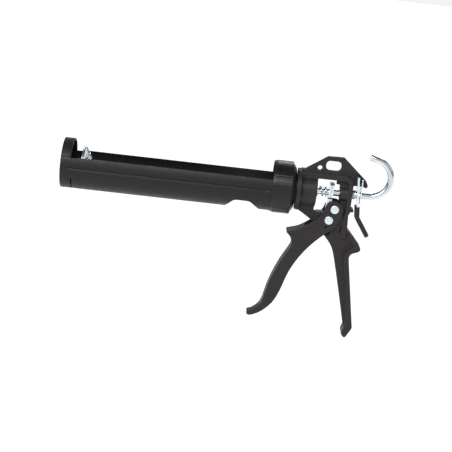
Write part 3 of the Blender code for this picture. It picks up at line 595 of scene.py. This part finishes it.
def make_cap():
    """The front cup: its strap over the open side steps out to the shell's own radius."""
    bm = bmesh.new()
    x0 = BARREL_FRONT
    x1 = BARREL_FRONT + CAP_LENGTH
    xp = BARREL_FRONT + 1.6
    nested = SHELL_IN_R - 0.3
    proud = SHELL_R + 0.3
    clear = SHELL_LIFT + math.degrees(0.5 / SHELL_R)
    rim = [(clear + (180 - 2 * clear) * i / 60, proud) for i in range(61)]
    rim += [(180 - clear + 0.02 + (180 + 2 * clear - 0.04) * i / 90, nested) for i in range(91)]
    loops = []
    for angle, outer in rim:
        y = math.cos(math.radians(angle))
        z = math.sin(math.radians(angle))
        inner = outer - 1.6
        section = [(x0, outer - 0.35), (x0 + 0.1, outer - 0.1), (x0 + 0.35, outer), (x1 - 0.35, outer),
                   (x1 - 0.1, outer - 0.1), (x1, outer - 0.35), (x1, inner), (xp, inner),
                   (xp, NOZZLE_R), (x0, NOZZLE_R)]
        loops.append([bm.verts.new((x, r * y, r * z)) for x, r in section])
    count = len(loops[0])
    for first, second in zip(loops, loops[1:] + loops[:1]):
        for k in range(count):
            n = (k + 1) % count
            face = bm.faces.new((first[k], first[n], second[n], second[k]))
            # sides 6 and 7 are the cup's inner faces and take the darker coat: painted shade
            face.material_index = 1 if k in (6, 7) else 0
    cap = to_object("front_ring", bm, 45)
    cap.data.materials.append(SHEET)
    cap.data.materials.append(PAINTED_SHADE_INNER)
    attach(cap, "barrel")
    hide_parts("front_cap")


def make_collar():
    thing = copied("collar_moulding", "barrel_collar")
    softened(thing, 0.35, 2)
    finish(thing, MOULDED, "barrel", "collar_black", "barrel_collar")


# ---------------------------------------------------------------- rod, piston and springs

ROD_R = 3.5
ROD_FRONT = 1.8
ROD_STEP = 3.0  # between two rings of the straight part
HOOK_R = 19.8
HOOK_BEND = 302.9
HOOK_SWEEP = 164.0
HOOK_TIP = 9.6


def make_rod():
    points = [(ROD_FRONT + ROD_STEP * i, 0.0, 0.0) for i in range(100)]
    points += [(x, 0.0, z) for x, z in arc((HOOK_BEND, HOOK_R), HOOK_R, -90, -90 + HOOK_SWEEP, 72)]
    last = math.radians(HOOK_SWEEP)
    tip = Vector(points[-1])
    points.append(tip + Vector((math.cos(last), 0, math.sin(last))) * HOOK_TIP)
    rod = to_object("push_rod_bar", tube(points, ROD_R, 40, 0.5))
    finish(rod, ROD, "rod", "bright_zinc", "push_rod")


def make_piston():
    rim = [(0.0, 0.0), (0.0, 17.8), (0.15, 18.5), (0.45, 18.9), (0.75, 19.0), (1.1, 18.9), (1.4, 18.5),
           (1.5, 18.1), (1.5, 0.0)]
    plate = to_object("piston_disc", turned(rim, 96))
    finish(plate, PRESSED, "piston", "bright_zinc", "piston_plate")
    cone = [(1.8, 17.2), (1.8, 18.7), (2.2, 19.0), (3.0, 18.9), (4.2, 17.6), (6.2, 13.4), (8.8, 9.6),
            (9.7, 8.2), (10.0, 7.4), (10.0, 3.9), (8.8, 3.9), (8.8, 7.0), (7.6, 8.6), (5.2, 12.2), (3.2, 16.4)]
    backing = to_object("piston_cone", turned(cone, 96, closed=True))
    holes = []
    for i in range(6):
        angle = 2 * math.pi * (i + 0.5) / 6
        holes.append(turned([(-2, 0), (-2, 2.3), (14, 2.3), (14, 0)], 24,
                            centre=(0, 12.8 * math.cos(angle), 12.8 * math.sin(angle))))
    shape(backing, cuts=holes)
    backing.data.set_sharp_from_angle(angle=math.radians(30))
    finish(backing, ZINC, "piston", "bright_zinc", "piston_backing")


def coil_points(start, end, radius, wire, turns, dead=0.8):
    """A coil whose last part-turn at each end lies close."""
    points = []
    count = int(turns * 40)
    for i in range(count + 1):
        turn = turns * i / count
        if turn < dead:
            share = 0.12 * turn / dead
        elif turn > turns - dead:
            share = 1 - 0.12 * (turns - turn) / dead
        else:
            share = 0.12 + 0.76 * (turn - dead) / (turns - 2 * dead)
        angle = 2 * math.pi * turn
        x = start + wire + (end - start - 2 * wire) * share
        points.append((x, radius * math.cos(angle), radius * math.sin(angle)))
    return points


def make_springs():
    drive = to_object("drive_coil", tube(coil_points(240.4, 258.7, 4.9, 0.8, 3.9), 0.8, 14, 0.1))
    finish(drive, STEEL, "frame", "plain_steel", "drive_spring")
    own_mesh(drive)
    brake = to_object("brake_coil", tube(coil_points(284.8, 288.6, 4.6, 0.5, 2.6, 0.5), 0.5, 12, 0.1))
    finish(brake, STEEL, "frame", "plain_steel", "brake_spring")
    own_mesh(brake)


# ---------------------------------------------------------------- rivets, plates and small pieces

def make_rivet(name, node, body, x, z):
    side = [(10.3, 2.5), (10.3, 4.3), (10.5, 4.5), (11.3, 4.5), (11.7, 4.35), (11.95, 4.0), (12.05, 3.4),
            (12.1, 2.0), (12.1, 0.0)]
    profile = [(-a, r) for a, r in reversed(side)] + side
    rivet = to_object(name, turned(profile, 64, axis=(0, 1, 0), centre=(x, 0, z)), 60)
    finish(rivet, RIVET, body, "rivet_zinc", node)


def make_sleeve():
    thing = copied("vinyl_sleeve", "lever_sleeve")
    softened(thing, 0.35, 5)
    finish(thing, VINYL, "lever", "sleeve_black", "lever_sleeve")


def dress(node, material, width):
    thing = nodes[node]
    thing.data.materials.clear()
    thing.data.materials.append(material)
    bevel(thing, width)


def main():
    make_camera()
    make_studio()
    make_frame_casting()
    make_trigger_casting()
    make_shell()
    make_cap()
    make_collar()
    make_rod()
    make_piston()
    make_springs()
    make_rivet("pivot_rivet_head", "pivot_rivet", "frame", *PIVOT)
    make_rivet("drive_rivet_head", "drive_rivet", "trigger", *DRIVE)
    make_sleeve()
    for node in ("drive_plate_front", "drive_plate_rear", "release_lever", "brake_plate"):
        dress(node, PRESSED, 0.35)
    dress("piston_nut", ZINC, 0.4)
    dress("thrust_washer", MOULDED, 0.15)
    for node in ("drive_roller", "pivot_bush", "retaining_ring", "spring_washer"):
        dress(node, STEEL, 0.15)


main()
